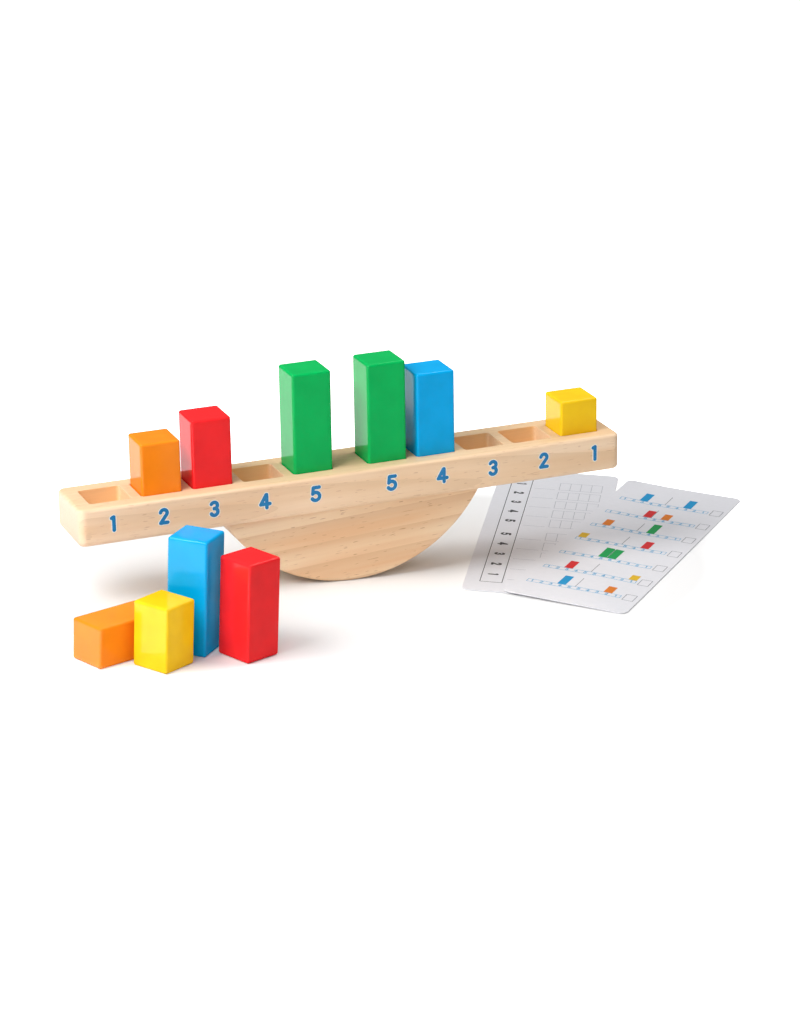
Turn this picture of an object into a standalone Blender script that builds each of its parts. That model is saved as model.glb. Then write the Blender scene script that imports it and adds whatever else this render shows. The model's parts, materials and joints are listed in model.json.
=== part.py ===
"""Stacking balance game: a pine beam with square pockets on a half-round rocker, painted blocks in five
heights and two laminated cards. Metres, +Z up, with the table at z = 0 and the set centred on the origin."""
import math

import bmesh
import bpy
import numpy as np

# Blocks: one square section, five heights
BLOCK_WIDTH = 0.031
BLOCK_EDGE_RADIUS = 0.0022
SHORTEST_BLOCK = 0.049
BLOCK_STEP = 0.0127
COLOURS_BY_HEIGHT = ("yellow", "orange", "red", "blue", "green")

# Beam: a row of pockets on each side of a solid middle
POCKETS_PER_SIDE = 5
POCKET_CLEARANCE = 0.0007
POCKET_DEPTH = 0.022
POCKET_FLOOR = 0.0068
POCKET_WALL = 0.0076
MIDDLE_WALL = 0.0276
END_WALL = 0.0125
SIDE_WALL = 0.0128
BEAM_CORNER_RADIUS = 0.006
BEAM_TOP_ROUND = 0.002
BEAM_BOTTOM_ROUND = 0.003

# Rocker: a circular segment glued and dowelled under the middle of the beam
ROCKER_RADIUS = 0.1184
ROCKER_HEIGHT = 0.0606
ROCKER_RECESS = 0.0075
ROCKER_EDGE_ROUND = 0.0015
DOWEL_RADIUS = 0.004
DOWEL_LENGTH = 0.030
DOWEL_INSET = 0.017
DOWEL_CHAMFER = 0.0008

# Cards
CARD_WIDTH = 0.099
CARD_LENGTH = 0.305
CARD_THICKNESS = 0.0008
CARD_CORNER_RADIUS = 0.006

# Gap left at every glued, seated or resting face
JOINT_GAP = 0.0003

# Layout on the table, from the point where the rocker touches it
REST_TILT = math.radians(3.13)
LOOSE_GROUP_X = -0.1755
LOOSE_GROUP_Y = -0.1414
RECORD_CARD_X = 0.1933
RECORD_CARD_Y = 0.0437
RECORD_CARD_TURN = math.radians(-29.4)
COMBINATION_CARD_X = 0.2435
COMBINATION_CARD_Y = -0.0059
COMBINATION_CARD_TURN = math.radians(-44.0)

# Facets
CORNER_SEGMENTS = 4
EDGE_SEGMENTS = 2
ROCKER_SEGMENTS = 48
DOWEL_SEGMENTS = 24

# Derived sizes
POCKET_WIDTH = BLOCK_WIDTH + 2 * POCKET_CLEARANCE
POCKET_CORNER_RADIUS = BLOCK_EDGE_RADIUS + POCKET_CLEARANCE
POCKET_PITCH = POCKET_WIDTH + POCKET_WALL
INNER_POCKET_X = (POCKET_WIDTH + MIDDLE_WALL) / 2
OUTER_POCKET_X = INNER_POCKET_X + (POCKETS_PER_SIDE - 1) * POCKET_PITCH
BEAM_LENGTH = 2 * OUTER_POCKET_X + POCKET_WIDTH + 2 * END_WALL
BEAM_DEPTH = POCKET_WIDTH + 2 * SIDE_WALL
BEAM_HEIGHT = POCKET_DEPTH + POCKET_FLOOR

# Heights in the balance's own frame, whose origin is the centre of the rocker's arc
ROCKER_TOP_Z = ROCKER_HEIGHT - ROCKER_RADIUS
BEAM_BOTTOM_Z = ROCKER_TOP_Z + JOINT_GAP
BEAM_TOP_Z = BEAM_BOTTOM_Z + BEAM_HEIGHT
POCKET_FLOOR_Z = BEAM_TOP_Z - POCKET_DEPTH
GLUE_LINE_Z = ROCKER_TOP_Z + JOINT_GAP / 2
ROCKER_THICKNESS = BEAM_DEPTH - 2 * ROCKER_RECESS
DOWEL_Y = BEAM_DEPTH / 2 - DOWEL_INSET

# Seated blocks: name, colour and pocket number, counted outwards from the middle, negative to the left
SEATED_BLOCKS = (
    ("orange_block_seated", "orange", -4),
    ("red_block_seated", "red", -3),
    ("green_block_left", "green", -1),
    ("green_block_right", "green", 1),
    ("blue_block_seated", "blue", 2),
    ("yellow_block_seated", "yellow", 5),
)

# Standing loose blocks: name, colour, place in block widths from the group's place, and turn in degrees
STANDING_BLOCKS = (
    ("yellow_block_loose", "yellow", -0.428, -0.182, 32.4),
    ("blue_block_loose", "blue", 0.577, 0.590, 47.0),
    ("red_block_loose", "red", 1.653, -0.113, 24.8),
)

# The lying block is placed by its hidden far end, behind the two standing blocks on the left
LYING_BLOCK = ("orange_block_loose", "orange", -0.284, 1.084, 22.8)

# Colours, as 8-bit sRGB, with roughness
FINISHES = {
    "beam_pine": ((240, 212, 176), 0.55),
    "rocker_pine": ((226, 186, 144), 0.55),
    "dowel_beech": ((214, 178, 136), 0.60),
    "yellow_paint": ((244, 190, 12), 0.22),
    "orange_paint": ((250, 122, 24), 0.22),
    "red_paint": ((226, 32, 36), 0.22),
    "blue_paint": ((0, 142, 214), 0.22),
    "green_paint": ((0, 160, 80), 0.22),
    "card_laminate": ((228, 228, 232), 0.35),
}


def clear_scene():
    """Remove every object that the file already holds."""
    for old in list(bpy.data.objects):
        bpy.data.objects.remove(old, do_unlink=True)


def linear(channel):
    """Linear-light value of one 8-bit sRGB channel."""
    share = channel / 255
    if share <= 0.04045:
        return share / 12.92
    return ((share + 0.055) / 1.055) ** 2.4


def make_material(name):
    """A Principled BSDF with the named finish's colour and roughness."""
    colour, roughness = FINISHES[name]
    material = bpy.data.materials.new(name)
    material.use_nodes = True
    shader = material.node_tree.nodes["Principled BSDF"]
    shader.inputs["Base Color"].default_value = (*(linear(channel) for channel in colour), 1.0)
    shader.inputs["Roughness"].default_value = roughness
    shader.inputs["Metallic"].default_value = 0.0
    return material


def make_empty(name, parent=None):
    """An empty that places the pieces parented to it."""
    empty = bpy.data.objects.new(name, None)
    empty.empty_display_size = BLOCK_WIDTH
    empty.parent = parent
    bpy.context.scene.collection.objects.link(empty)
    return empty


def make_object(name, bm, parent, finish):
    """Turn a bmesh into a named object with outward faces and its own material."""
    bmesh.ops.recalc_face_normals(bm, faces=bm.faces[:])
    mesh = bpy.data.meshes.new(name)
    bm.to_mesh(mesh)
    bm.free()
    piece = bpy.data.objects.new(name, mesh)
    piece.parent = parent
    bpy.context.scene.collection.objects.link(piece)
    mesh.shade_smooth()
    mesh.set_sharp_from_angle(angle=math.radians(35))
    if finish is not None:
        piece.data.materials.append(make_material(finish))
    return piece


def make_cutter(name, bm, parent):
    """A wire-drawn object that only shapes others."""
    cutter = make_object(name, bm, parent, None)
    cutter.hide_render = True
    cutter.display_type = "WIRE"
    return cutter


def cut(piece, cutter):
    """Subtract the cutter from the piece."""
    modifier = piece.modifiers.new("cut_by_" + cutter.name, "BOOLEAN")
    modifier.operation = "DIFFERENCE"
    modifier.solver = "EXACT"
    modifier.object = cutter


def rounded_rectangle(width, depth, radius):
    """Corner-rounded rectangle round the origin, anticlockwise, as (x, y) points."""
    points = []
    for quarter in range(4):
        middle = math.pi / 4 + quarter * math.pi / 2
        centre_x = math.copysign(width / 2 - radius, math.cos(middle))
        centre_y = math.copysign(depth / 2 - radius, math.sin(middle))
        for step in range(CORNER_SEGMENTS + 1):
            angle = quarter * math.pi / 2 + step / CORNER_SEGMENTS * math.pi / 2
            points.append((centre_x + radius * math.cos(angle), centre_y + radius * math.sin(angle)))
    return points


def add_prism(bm, outline, low, high, shift_x=0.0):
    """Upright prism on an (x, y) outline between two heights. Returns its bottom and top edges."""
    rings = []
    for height in (low, high):
        rings.append([bm.verts.new((x + shift_x, y, height)) for x, y in outline])
    bottom, top = rings
    bm.faces.new(bottom[::-1])
    bm.faces.new(top)
    for index in range(len(outline)):
        after = (index + 1) % len(outline)
        bm.faces.new((bottom[index], bottom[after], top[after], top[index]))
    return [
        [bm.edges.get((ring[index - 1], ring[index])) for index in range(len(ring))]
        for ring in rings
    ]


def round_edges(bm, edges, radius):
    """Round the given edges."""
    bmesh.ops.bevel(bm, geom=edges, offset=radius, segments=EDGE_SEGMENTS, profile=0.5, affect="EDGES")


def block_height(colour):
    """Full height of a block of this colour."""
    return SHORTEST_BLOCK + COLOURS_BY_HEIGHT.index(colour) * BLOCK_STEP


def pocket_x(pocket):
    """Middle of a pocket along the beam, for a pocket number counted outwards from the middle."""
    return math.copysign(INNER_POCKET_X + (abs(pocket) - 1) * POCKET_PITCH, pocket)


def make_block(name, colour, parent):
    """Square block with all its edges rounded, standing on its origin."""
    height = block_height(colour)
    bm = bmesh.new()
    bmesh.ops.create_cube(bm, size=1.0)
    bmesh.ops.scale(bm, vec=(BLOCK_WIDTH, BLOCK_WIDTH, height), verts=bm.verts[:])
    bmesh.ops.translate(bm, vec=(0, 0, height / 2), verts=bm.verts[:])
    round_edges(bm, bm.edges[:], BLOCK_EDGE_RADIUS)
    return make_object(name, bm, parent, colour + "_paint")


def make_pocket_cutter(pivot):
    """The pockets' hollows, reaching past the beam's top."""
    outline = rounded_rectangle(POCKET_WIDTH, POCKET_WIDTH, POCKET_CORNER_RADIUS)
    bm = bmesh.new()
    for number in range(1, POCKETS_PER_SIDE + 1):
        for pocket in (-number, number):
            add_prism(bm, outline, POCKET_FLOOR_Z, BEAM_TOP_Z + POCKET_DEPTH, pocket_x(pocket))
    return make_cutter("pocket_cutter", bm, pivot)


def make_dowel_cutter(pivot):
    """The dowel holes, half in the beam and half in the rocker."""
    bm = bmesh.new()
    for side in (-1, 1):
        made = bmesh.ops.create_cone(
            bm, cap_ends=True, segments=DOWEL_SEGMENTS, radius1=DOWEL_RADIUS + JOINT_GAP,
            radius2=DOWEL_RADIUS + JOINT_GAP, depth=DOWEL_LENGTH + 2 * JOINT_GAP)
        bmesh.ops.translate(bm, vec=(0, side * DOWEL_Y, GLUE_LINE_Z), verts=made["verts"])
    return make_cutter("dowel_cutter", bm, pivot)


def make_beam(pivot, cutters):
    """Long pine bar with rounded corners and edges, pocketed from above and bored for the dowels."""
    outline = rounded_rectangle(BEAM_LENGTH, BEAM_DEPTH, BEAM_CORNER_RADIUS)
    bm = bmesh.new()
    bottom, top = add_prism(bm, outline, BEAM_BOTTOM_Z, BEAM_TOP_Z)
    round_edges(bm, top, BEAM_TOP_ROUND)
    round_edges(bm, bottom, BEAM_BOTTOM_ROUND)
    beam = make_object("balance_beam", bm, pivot, "beam_pine")
    for cutter in cutters:
        cut(beam, cutter)


def make_rocker(pivot, dowel_cutter):
    """Circular segment, flat side up, extruded across the beam, with rounded face edges."""
    half_angle = math.acos(1 - ROCKER_HEIGHT / ROCKER_RADIUS)
    bm = bmesh.new()
    rings = []
    for y in (-ROCKER_THICKNESS / 2, ROCKER_THICKNESS / 2):
        ring = []
        for step in range(ROCKER_SEGMENTS + 1):
            angle = half_angle * (2 * step / ROCKER_SEGMENTS - 1)
            ring.append(bm.verts.new((ROCKER_RADIUS * math.sin(angle), y, -ROCKER_RADIUS * math.cos(angle))))
        rings.append(ring)
    front, back = rings
    bm.faces.new(front)
    bm.faces.new(back[::-1])
    for index in range(len(front)):
        bm.faces.new((front[index], front[index - 1], back[index - 1], back[index]))
    rim = [bm.edges.get((ring[index - 1], ring[index])) for ring in rings for index in range(len(ring))]
    round_edges(bm, rim, ROCKER_EDGE_ROUND)
    cut(make_object("rocker", bm, pivot, "rocker_pine"), dowel_cutter)


def make_dowel(name, side, pivot):
    """Round pin with chamfered ends across the glue line."""
    bm = bmesh.new()
    bmesh.ops.create_cone(
        bm, cap_ends=True, segments=DOWEL_SEGMENTS, radius1=DOWEL_RADIUS,
        radius2=DOWEL_RADIUS, depth=DOWEL_LENGTH)
    rims = [edge for edge in bm.edges if abs(edge.verts[0].co.z - edge.verts[1].co.z) < DOWEL_CHAMFER]
    bmesh.ops.bevel(bm, geom=rims, offset=DOWEL_CHAMFER, segments=1, affect="EDGES")
    dowel = make_object(name, bm, pivot, "dowel_beech")
    dowel.location = (0, side * DOWEL_Y, GLUE_LINE_Z)


def make_balance(table):
    """Beam, rocker, dowels and seated blocks, all on an empty at the rocking axis."""
    pivot = make_empty("rocking_axis", table)
    pivot.location.z = ROCKER_RADIUS
    pivot.rotation_euler.y = -REST_TILT
    pocket_cutter = make_pocket_cutter(pivot)
    dowel_cutter = make_dowel_cutter(pivot)
    make_beam(pivot, (pocket_cutter, dowel_cutter))
    make_rocker(pivot, dowel_cutter)
    make_dowel("front_dowel", -1, pivot)
    make_dowel("rear_dowel", 1, pivot)
    for name, colour, pocket in SEATED_BLOCKS:
        block = make_block(name, colour, pivot)
        block.location = (pocket_x(pocket), 0, POCKET_FLOOR_Z + JOINT_GAP)


def make_loose_blocks(table):
    """Blocks waiting on the table in front of the beam's left end."""
    group = make_empty("loose_group", table)
    group.location = (LOOSE_GROUP_X, LOOSE_GROUP_Y, 0)
    for name, colour, across, along, turn in STANDING_BLOCKS:
        block = make_block(name, colour, group)
        block.location = (across * BLOCK_WIDTH, along * BLOCK_WIDTH, 0)
        block.rotation_euler.z = math.radians(turn)
    name, colour, across, along, turn = LYING_BLOCK
    lying = make_block(name, colour, group)
    lying.location = (across * BLOCK_WIDTH, along * BLOCK_WIDTH, BLOCK_WIDTH / 2)
    lying.rotation_euler = (0, math.radians(-90), math.radians(turn))


def make_card(name, table, x, y, turn, height):
    """Thin rounded card lying flat."""
    bm = bmesh.new()
    add_prism(bm, rounded_rectangle(CARD_WIDTH, CARD_LENGTH, CARD_CORNER_RADIUS), 0, CARD_THICKNESS)
    card = make_object(name, bm, table, "card_laminate")
    card.location = (x, y, height)
    card.rotation_euler.z = turn


def centre_set(table):
    """Move the whole set so that its box is centred over the origin."""
    bpy.context.view_layer.update()
    depsgraph = bpy.context.evaluated_depsgraph_get()
    corners = []
    for piece in bpy.data.objects:
        if piece.type != "MESH" or piece.hide_render:
            continue
        evaluated = piece.evaluated_get(depsgraph)
        mesh = evaluated.to_mesh()
        points = np.empty(len(mesh.vertices) * 3)
        mesh.vertices.foreach_get("co", points)
        evaluated.to_mesh_clear()
        turned = points.reshape(-1, 3) @ np.array(piece.matrix_world.to_3x3()).T
        placed = turned + np.array(piece.matrix_world.translation)
        corners += [placed.min(axis=0), placed.max(axis=0)]
    middle = (np.min(corners, axis=0) + np.max(corners, axis=0)) / 2
    table.location.x = -middle[0]
    table.location.y = -middle[1]
    bpy.context.view_layer.update()


def main():
    clear_scene()
    table = make_empty("table_top")
    make_balance(table)
    make_loose_blocks(table)
    make_card("record_card", table, RECORD_CARD_X, RECORD_CARD_Y, RECORD_CARD_TURN, 0)
    make_card("combination_card", table, COMBINATION_CARD_X, COMBINATION_CARD_Y, COMBINATION_CARD_TURN,
              CARD_THICKNESS + JOINT_GAP)
    centre_set(table)


main()
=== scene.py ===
"""Finish of a stacking balance game: a lacquered pine beam and rocker, gloss-painted blocks and two
laminated cards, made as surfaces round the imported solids. Metres, +Z up."""
import json
import math

import bmesh
import bpy
import numpy as np
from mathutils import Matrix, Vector


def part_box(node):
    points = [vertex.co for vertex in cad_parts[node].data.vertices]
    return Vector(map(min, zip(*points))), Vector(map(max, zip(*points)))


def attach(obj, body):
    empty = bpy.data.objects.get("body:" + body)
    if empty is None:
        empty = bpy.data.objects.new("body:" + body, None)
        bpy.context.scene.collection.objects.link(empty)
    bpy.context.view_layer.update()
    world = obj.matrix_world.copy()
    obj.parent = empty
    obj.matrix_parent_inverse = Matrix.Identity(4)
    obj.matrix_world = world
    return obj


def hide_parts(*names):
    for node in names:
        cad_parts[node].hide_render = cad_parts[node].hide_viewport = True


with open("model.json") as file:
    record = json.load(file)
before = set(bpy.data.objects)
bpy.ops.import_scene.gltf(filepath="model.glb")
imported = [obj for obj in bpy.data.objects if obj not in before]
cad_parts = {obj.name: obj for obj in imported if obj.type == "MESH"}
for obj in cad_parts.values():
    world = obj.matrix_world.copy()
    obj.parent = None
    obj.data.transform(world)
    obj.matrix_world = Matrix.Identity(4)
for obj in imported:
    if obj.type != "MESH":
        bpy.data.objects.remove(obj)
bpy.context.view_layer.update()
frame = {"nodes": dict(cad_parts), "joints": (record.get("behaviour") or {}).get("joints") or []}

# Beam and rocker, in the balance's own frame: along the beam, across it, and up from the rocking axis
BEAM_CORNER = 0.006
BEAM_TOP_ROUND = 0.0028
BEAM_BOTTOM_ROUND = 0.0034
POCKETS_PER_SIDE = 5
POCKET_WIDTH = 0.0324
POCKET_PITCH = 0.040
POCKET_FIRST = 0.030
POCKET_DEPTH = 0.022
POCKET_CORNER = 0.0029
POCKET_MOUTH_ROUND = 0.0004
POCKET_FLOOR_ROUND = 0.0005
ROCKER_EDGE = 0.0018
ROCKER_INTO_BEAM = 0.0022

# Share of the routed walls' tone, partly painted shade, that a pocket's floor takes
POCKET_FLOOR_SHARE = 0.4

# Blocks: edge rounding, and the turn of each loose one about the upright, in degrees
BLOCK_ROUND = 0.0019
LOOSE_TURNS = {"yellow": 32.4, "blue": 47.0, "red": 24.8, "orange": 22.8}

# Numerals on the beam: height and width of the stroke's line, its pale border, and where the row stands
NUMERAL_HEIGHT = 0.0102
NUMERAL_STROKE = 0.0029
NUMERAL_HALO = 0.0006
NUMERAL_RISE = 0.00012
HALO_RISE = 0.00005
NUMERAL_MIDDLE_UP = -0.0416
NUMERAL_SHIFT = -0.0032
NUMERAL_SPREAD = 1.0245
NUMERAL_BOW = 0.1477

# Share by which a stroke lies higher than the one that it crosses
STROKE_STEP = 0.2

# Cards
CARD_CORNER = 0.006
CARD_RIM_SHARE = 0.25
RECORD_TURN = -29.4
COMBINATION_TURN = -44.0
CARD_DROOP_REACH = 0.035
CARD_CURL = 0.0010
INK_RISE = 0.00005
RULE_WIDTH = 0.0006
CELL_RULE_WIDTH = 0.0005
CARD_RULE_STEP = 0.008
INK_DEPTH = 0.86

# Record card: a column of pocket numbers along its left side, and four cells to fill in for each
COLUMN_LEFT = -0.0375
COLUMN_RIGHT = -0.0205
COLUMN_END = 0.132
COLUMN_FIRST = 0.0168
COLUMN_PITCH = 0.0243
COLUMN_NUMERAL = 0.0066
COLUMN_STROKE = 0.0020
CELL_LEFT = 0.003
CELL_WIDTH = 0.0088
CELL_HEIGHT = 0.0185
CELLS_PER_NUMBER = 4
CELL_GAP = 0.003

# Combination card: rows of a ten-cell strip with two bars on it and a box to tick
ROW_FIRST = 0.1015
ROW_PITCH = 0.0374
STRIP_LEFT = -0.0405
STRIP_CELL = 0.0075
STRIP_HEIGHT = 0.0058
STRIP_NUMERAL = 0.0035
STRIP_STROKE = 0.0009
TICK_LEFT = 0.0372
TICK_WIDTH = 0.0084
TICK_HEIGHT = 0.0130
TICK_DROP = 0.002
BAR_WIDTH = 0.0068
BAR_SCALE = 0.233
DIVIDER_HEIGHT = 0.021

# Seated block that each bar's height is drawn from
BAR_MODELS = {
    "yellow": "yellow_block_seated",
    "orange": "orange_block_seated",
    "red": "red_block_seated",
    "blue": "blue_block_seated",
    "green": "green_block_left",
}

# Bars of each row: colour and cell of the left one and of the right one
COMBINATIONS = (
    (("blue", 2), ("blue", 7)),
    (("red", 4), ("orange", 6)),
    (("orange", 1), ("green", 6)),
    (("yellow", 0), ("red", 7)),
    (("green", 4), ("green", 5)),
    (("red", 2), ("yellow", 9)),
    (("blue", 3), ("orange", 8)),
)

# Mesh fineness: steps of a quarter turn, of a side and of the larger surfaces, and the loop that holds a
# flat face beside its rounding
ARC_STEPS = 8
SMALL_ARC_STEPS = 5
SIDE_STEPS = 28
ROCKER_STEPS = 160
CARD_LENGTH_STEPS = 60
CARD_WIDTH_STEPS = 24
HOLD = 0.0009
MERGE_DISTANCE = 2e-6
LEAST_EDGE = 1e-7
CREASE_DEGREES = 38

# Width of one ring of a wave texture whose scale is one
WAVE_UNIT = 2 * math.pi / 20

# Grain of each board: shift to the middle of the tree, width and strength of its rings, strength of the
# resin dashes, and the turn of the tree's line from the beam's, up and sideways in radians
BEAM_GRAIN = {
    "heart": (0.4, 0.0693, -0.0728),
    "ring_width": 0.0052,
    "ringed": 0.5,
    "flecked": 0.3,
    "swing": 0.034,
}
ROCKER_GRAIN = {
    "heart": (0.1, 0.11, 0.22),
    "ring_width": 0.016,
    "ringed": 0.62,
    "flecked": 0.5,
    "lean": 0.06,
}

# Stretch of each grain pattern along the board, and the size of each, in cycles per metre
RING_STRETCH = (0.10, 1, 1)
STREAK_STRETCH = (0.06, 1, 1)
FIBRE_STRETCH = (0.03, 1, 1)
FLECK_STRETCH = (0.10, 1, 1)
STREAK_SCALE = 75.0
FIBRE_SCALE = 760.0
FLECK_SCALE = 1250.0

# Range that a cloudy noise mostly covers
CLOUDY = (0.3, 0.7)

# Colours, as 8-bit sRGB
COLOURS = {
    "yellow": (255, 206, 26),
    "orange": (255, 140, 28),
    "red": (244, 38, 42),
    "blue": (0, 168, 232),
    "green": (0, 180, 88),
}
BEAM_LIGHT = (253, 223, 190)
BEAM_DARK = (240, 202, 161)
ROCKER_LIGHT = (255, 226, 189)
ROCKER_DARK = (240, 194, 149)
# Pocket walls: partly the cut wood's own tone and partly painted shade; the end walls' paler tone is painted
# light
ROUTED_WOOD_AND_SHADE_TONE = (244, 202, 150)
ROUTED_END_PAINTED_LIGHT = (255, 222, 182)
END_TONE = (240, 214, 188)
# Painted shade: the darker tone that faces looking up take
TOP_PAINTED_SHADE_TONE = (226, 192, 148)
RESIN_BROWN = (172, 110, 62)
BEECH_LIGHT = (222, 186, 146)
BEECH_DARK = (206, 166, 124)
NUMERAL_BLUE = (8, 124, 184)
HALO_WHITE = (255, 244, 228)
CARD_WHITE = (232, 232, 237)
INK_BLACK = (44, 44, 48)
INK_GREY = (120, 122, 130)
INK_PALE = (178, 180, 188)
INK_SKY = (92, 164, 204)

# Photograph's view
VIEW_TARGET = (-0.030579, -0.04455, 0.053045)
VIEW_DISTANCE = 2.51325
VIEW_AZIMUTH = -22.533
VIEW_ELEVATION = 18.736
VIEW_ROLL = 2.166
VIEW_FOCAL_PX = 3302.35
VIEW_HEIGHT_PX = 1027
SENSOR_MM = 36.0

# Light: softboxes as place, size and watts, all turned to the middle of the set; a weak fill from the
# front; three white cards on the floor that only gloss shows; a room that is dim at the horizon and
# brighter overhead; and a floor that turns white away from the set, between the near and the far distance
LEFT_BOX = ((-1.00, -0.30, 1.00), (0.75, 0.75), 16.4)
RIGHT_BOX = ((0.68, 0.16, 1.25), (0.75, 0.75), 7.6)
FRONT_BOX = ((-0.60, -1.00, 0.75), (0.6, 0.6), 3.7)
BOX_AIM = (-0.05, -0.05, 0.05)
FILL_AZIMUTH = 2.0
FILL_ELEVATION = 26.0
FILL_SPREAD = 70.0
FILL_STRENGTH = 0.16
BACK_CARD = ((-0.37, 0.40, 0.001), (0.46, 0.5), 1.55)
RIGHT_CARD = ((0.03, 0.40, 0.001), (0.16, 0.5), 0.6)
LEFT_CARD = ((-0.435, -0.16, 0.001), (0.27, 0.30), 0.65)
ROOM_LOW = 0.12
ROOM_HIGH = 0.40
ROOM_LOW_UP_TO = 0.25
ROOM_HIGH_FROM = 0.9
ROOM_LEFT = 1.3
ROOM_RIGHT = 0.5
ROOM_FRONT = 0.4
ROOM_BACK = 1.5
FLOOR_WHITE = 0.86
FLOOR_LIFT = 0.02
FLOOR_NEAR = 0.31
FLOOR_FAR = 0.47
FLOOR_STRETCH = (1.15, 1.7, 1.0)
FLOOR_SHIFT = (0.055, 0.05, 0.0)
FLOOR_IN_GLOSS = 0.5
FLOOR_HALF = 9.0
FLOOR_DROP = 0.0002

JOINTS = {joint["name"]: joint for joint in frame["joints"]}
PIVOT = np.array(JOINTS["beam_rock"]["pos_m"])
BEAM_UP = np.array(JOINTS["green_left_lift"]["axis"])
BEAM_ALONG = np.array((BEAM_UP[2], 0.0, -BEAM_UP[0]))
BEAM_ACROSS = np.array((0.0, 1.0, 0.0))
BEAM_AXES = np.array((BEAM_ALONG, BEAM_ACROSS, BEAM_UP))
BEAM_TILT = math.atan2(BEAM_ALONG[2], BEAM_ALONG[0])


def node_box(node, axes, origin=(0, 0, 0)):
    """Lowest and highest corner of a solid along the given axes, measured from the origin."""
    mesh = frame["nodes"][node].data
    points = np.empty(len(mesh.vertices) * 3)
    mesh.vertices.foreach_get("co", points)
    local = (points.reshape(-1, 3) - np.array(origin)) @ axes.T
    return local.min(axis=0), local.max(axis=0)


def turned_axes(degrees):
    """Axes turned about the upright."""
    angle = math.radians(degrees)
    cosine, sine = math.cos(angle), math.sin(angle)
    return np.array(((cosine, sine, 0), (-sine, cosine, 0), (0, 0, 1)))


def piece(name, grids, material, body, replaced=(), marks=None):
    """One piece from point grids of shape (rows, columns, 3): neighbouring points are joined by quads,
    shared borders and poles are merged and the faces turned outwards. Marks hold a value for each
    point."""
    points, quads, first = [], [], 0
    for grid in grids:
        rows, columns = grid.shape[:2]
        index = first + np.arange(rows * columns).reshape(rows, columns)
        corners = (index[:-1, :-1], index[:-1, 1:], index[1:, 1:], index[1:, :-1])
        quads.append(np.stack(corners, axis=-1).reshape(-1, 4))
        points.append(grid.reshape(-1, 3))
        first += rows * columns
    mesh = bpy.data.meshes.new(name)
    mesh.from_pydata(np.concatenate(points).tolist(), [], np.concatenate(quads).tolist())
    if marks is not None:
        attribute = mesh.attributes.new("routed", "FLOAT", "POINT")
        values = np.concatenate([mark.ravel() for mark in marks]).astype(np.float32)
        attribute.data.foreach_set("value", values)
    bm = bmesh.new()
    bm.from_mesh(mesh)
    bmesh.ops.remove_doubles(bm, verts=bm.verts[:], dist=MERGE_DISTANCE)
    bmesh.ops.dissolve_degenerate(bm, edges=bm.edges[:], dist=LEAST_EDGE)
    bmesh.ops.recalc_face_normals(bm, faces=bm.faces[:])
    bm.to_mesh(mesh)
    bm.free()
    mesh.shade_smooth()
    mesh.set_sharp_from_angle(angle=math.radians(CREASE_DEGREES))
    made = bpy.data.objects.new(name, mesh)
    bpy.context.scene.collection.objects.link(made)
    made.data.materials.append(material)
    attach(made, body)
    if replaced:
        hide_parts(*replaced)
    return made


def quarter(start, steps=ARC_STEPS):
    """Angles of a quarter turn from the start, in radians."""
    return np.radians(np.linspace(start, start + 90, steps + 1))


def box_loop(half_x, half_y):
    """Rectangle once round, as points and outward directions: each corner is one point whose direction
    turns through a quarter, and each side has a point just inside either corner. The first point comes
    again last."""
    signs = np.array(((1, 1), (-1, 1), (-1, -1), (1, -1)))
    corners = signs * (half_x, half_y)
    points, outward = [], []
    for number in range(4):
        turn = quarter(90 * number)
        points.append(np.repeat(corners[number:number + 1], len(turn), axis=0))
        outward.append(np.stack((np.cos(turn), np.sin(turn)), axis=1))
        along = corners[(number + 1) % 4] - corners[number]
        step = along / np.linalg.norm(along) * HOLD
        points.append(np.array((corners[number] + step, corners[number] + along - step)))
        outward.append(np.repeat(outward[-1][-1:], 2, axis=0))
    points = np.concatenate(points)
    outward = np.concatenate(outward)
    return np.vstack((points, points[:1])), np.vstack((outward, outward[:1]))


def stack(loops, heights):
    """Grid of loops at their heights."""
    rows = [np.column_stack((loop, np.full(len(loop), height))) for loop, height in zip(loops, heights)]
    return np.stack(rows)


def rounded_block(low, high, radius):
    """Box with every edge rounded: a smaller box swelled by a ball. Rows run from the middle of the base
    out to its edge, round the lower fillet, up the side, round the upper fillet and in to the middle of
    the top."""
    middle = (low + high) / 2
    inner = (high - low) / 2 - radius
    points, outward = box_loop(inner[0], inner[1])
    flat = (0.0, 0.5, 1 - HOLD / inner.min())
    low_turn, high_turn = quarter(-90), quarter(0)
    loops = [points * share for share in flat]
    heights = [-inner[2] - radius] * len(flat)
    loops += [points + radius * math.cos(turn) * outward for turn in low_turn]
    heights += [-inner[2] + radius * math.sin(turn) for turn in low_turn]
    loops += [points + radius * outward] * 2
    heights += [HOLD - inner[2], inner[2] - HOLD]
    loops += [points + radius * math.cos(turn) * outward for turn in high_turn]
    heights += [inner[2] + radius * math.sin(turn) for turn in high_turn]
    loops += [points * share for share in flat[::-1]]
    heights += [inner[2] + radius] * len(flat)
    return stack(loops, heights) + middle


def to_world(grid, axes, origin=(0, 0, 0)):
    """A grid in a local frame, in world coordinates."""
    return grid @ axes + np.array(origin)


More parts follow.
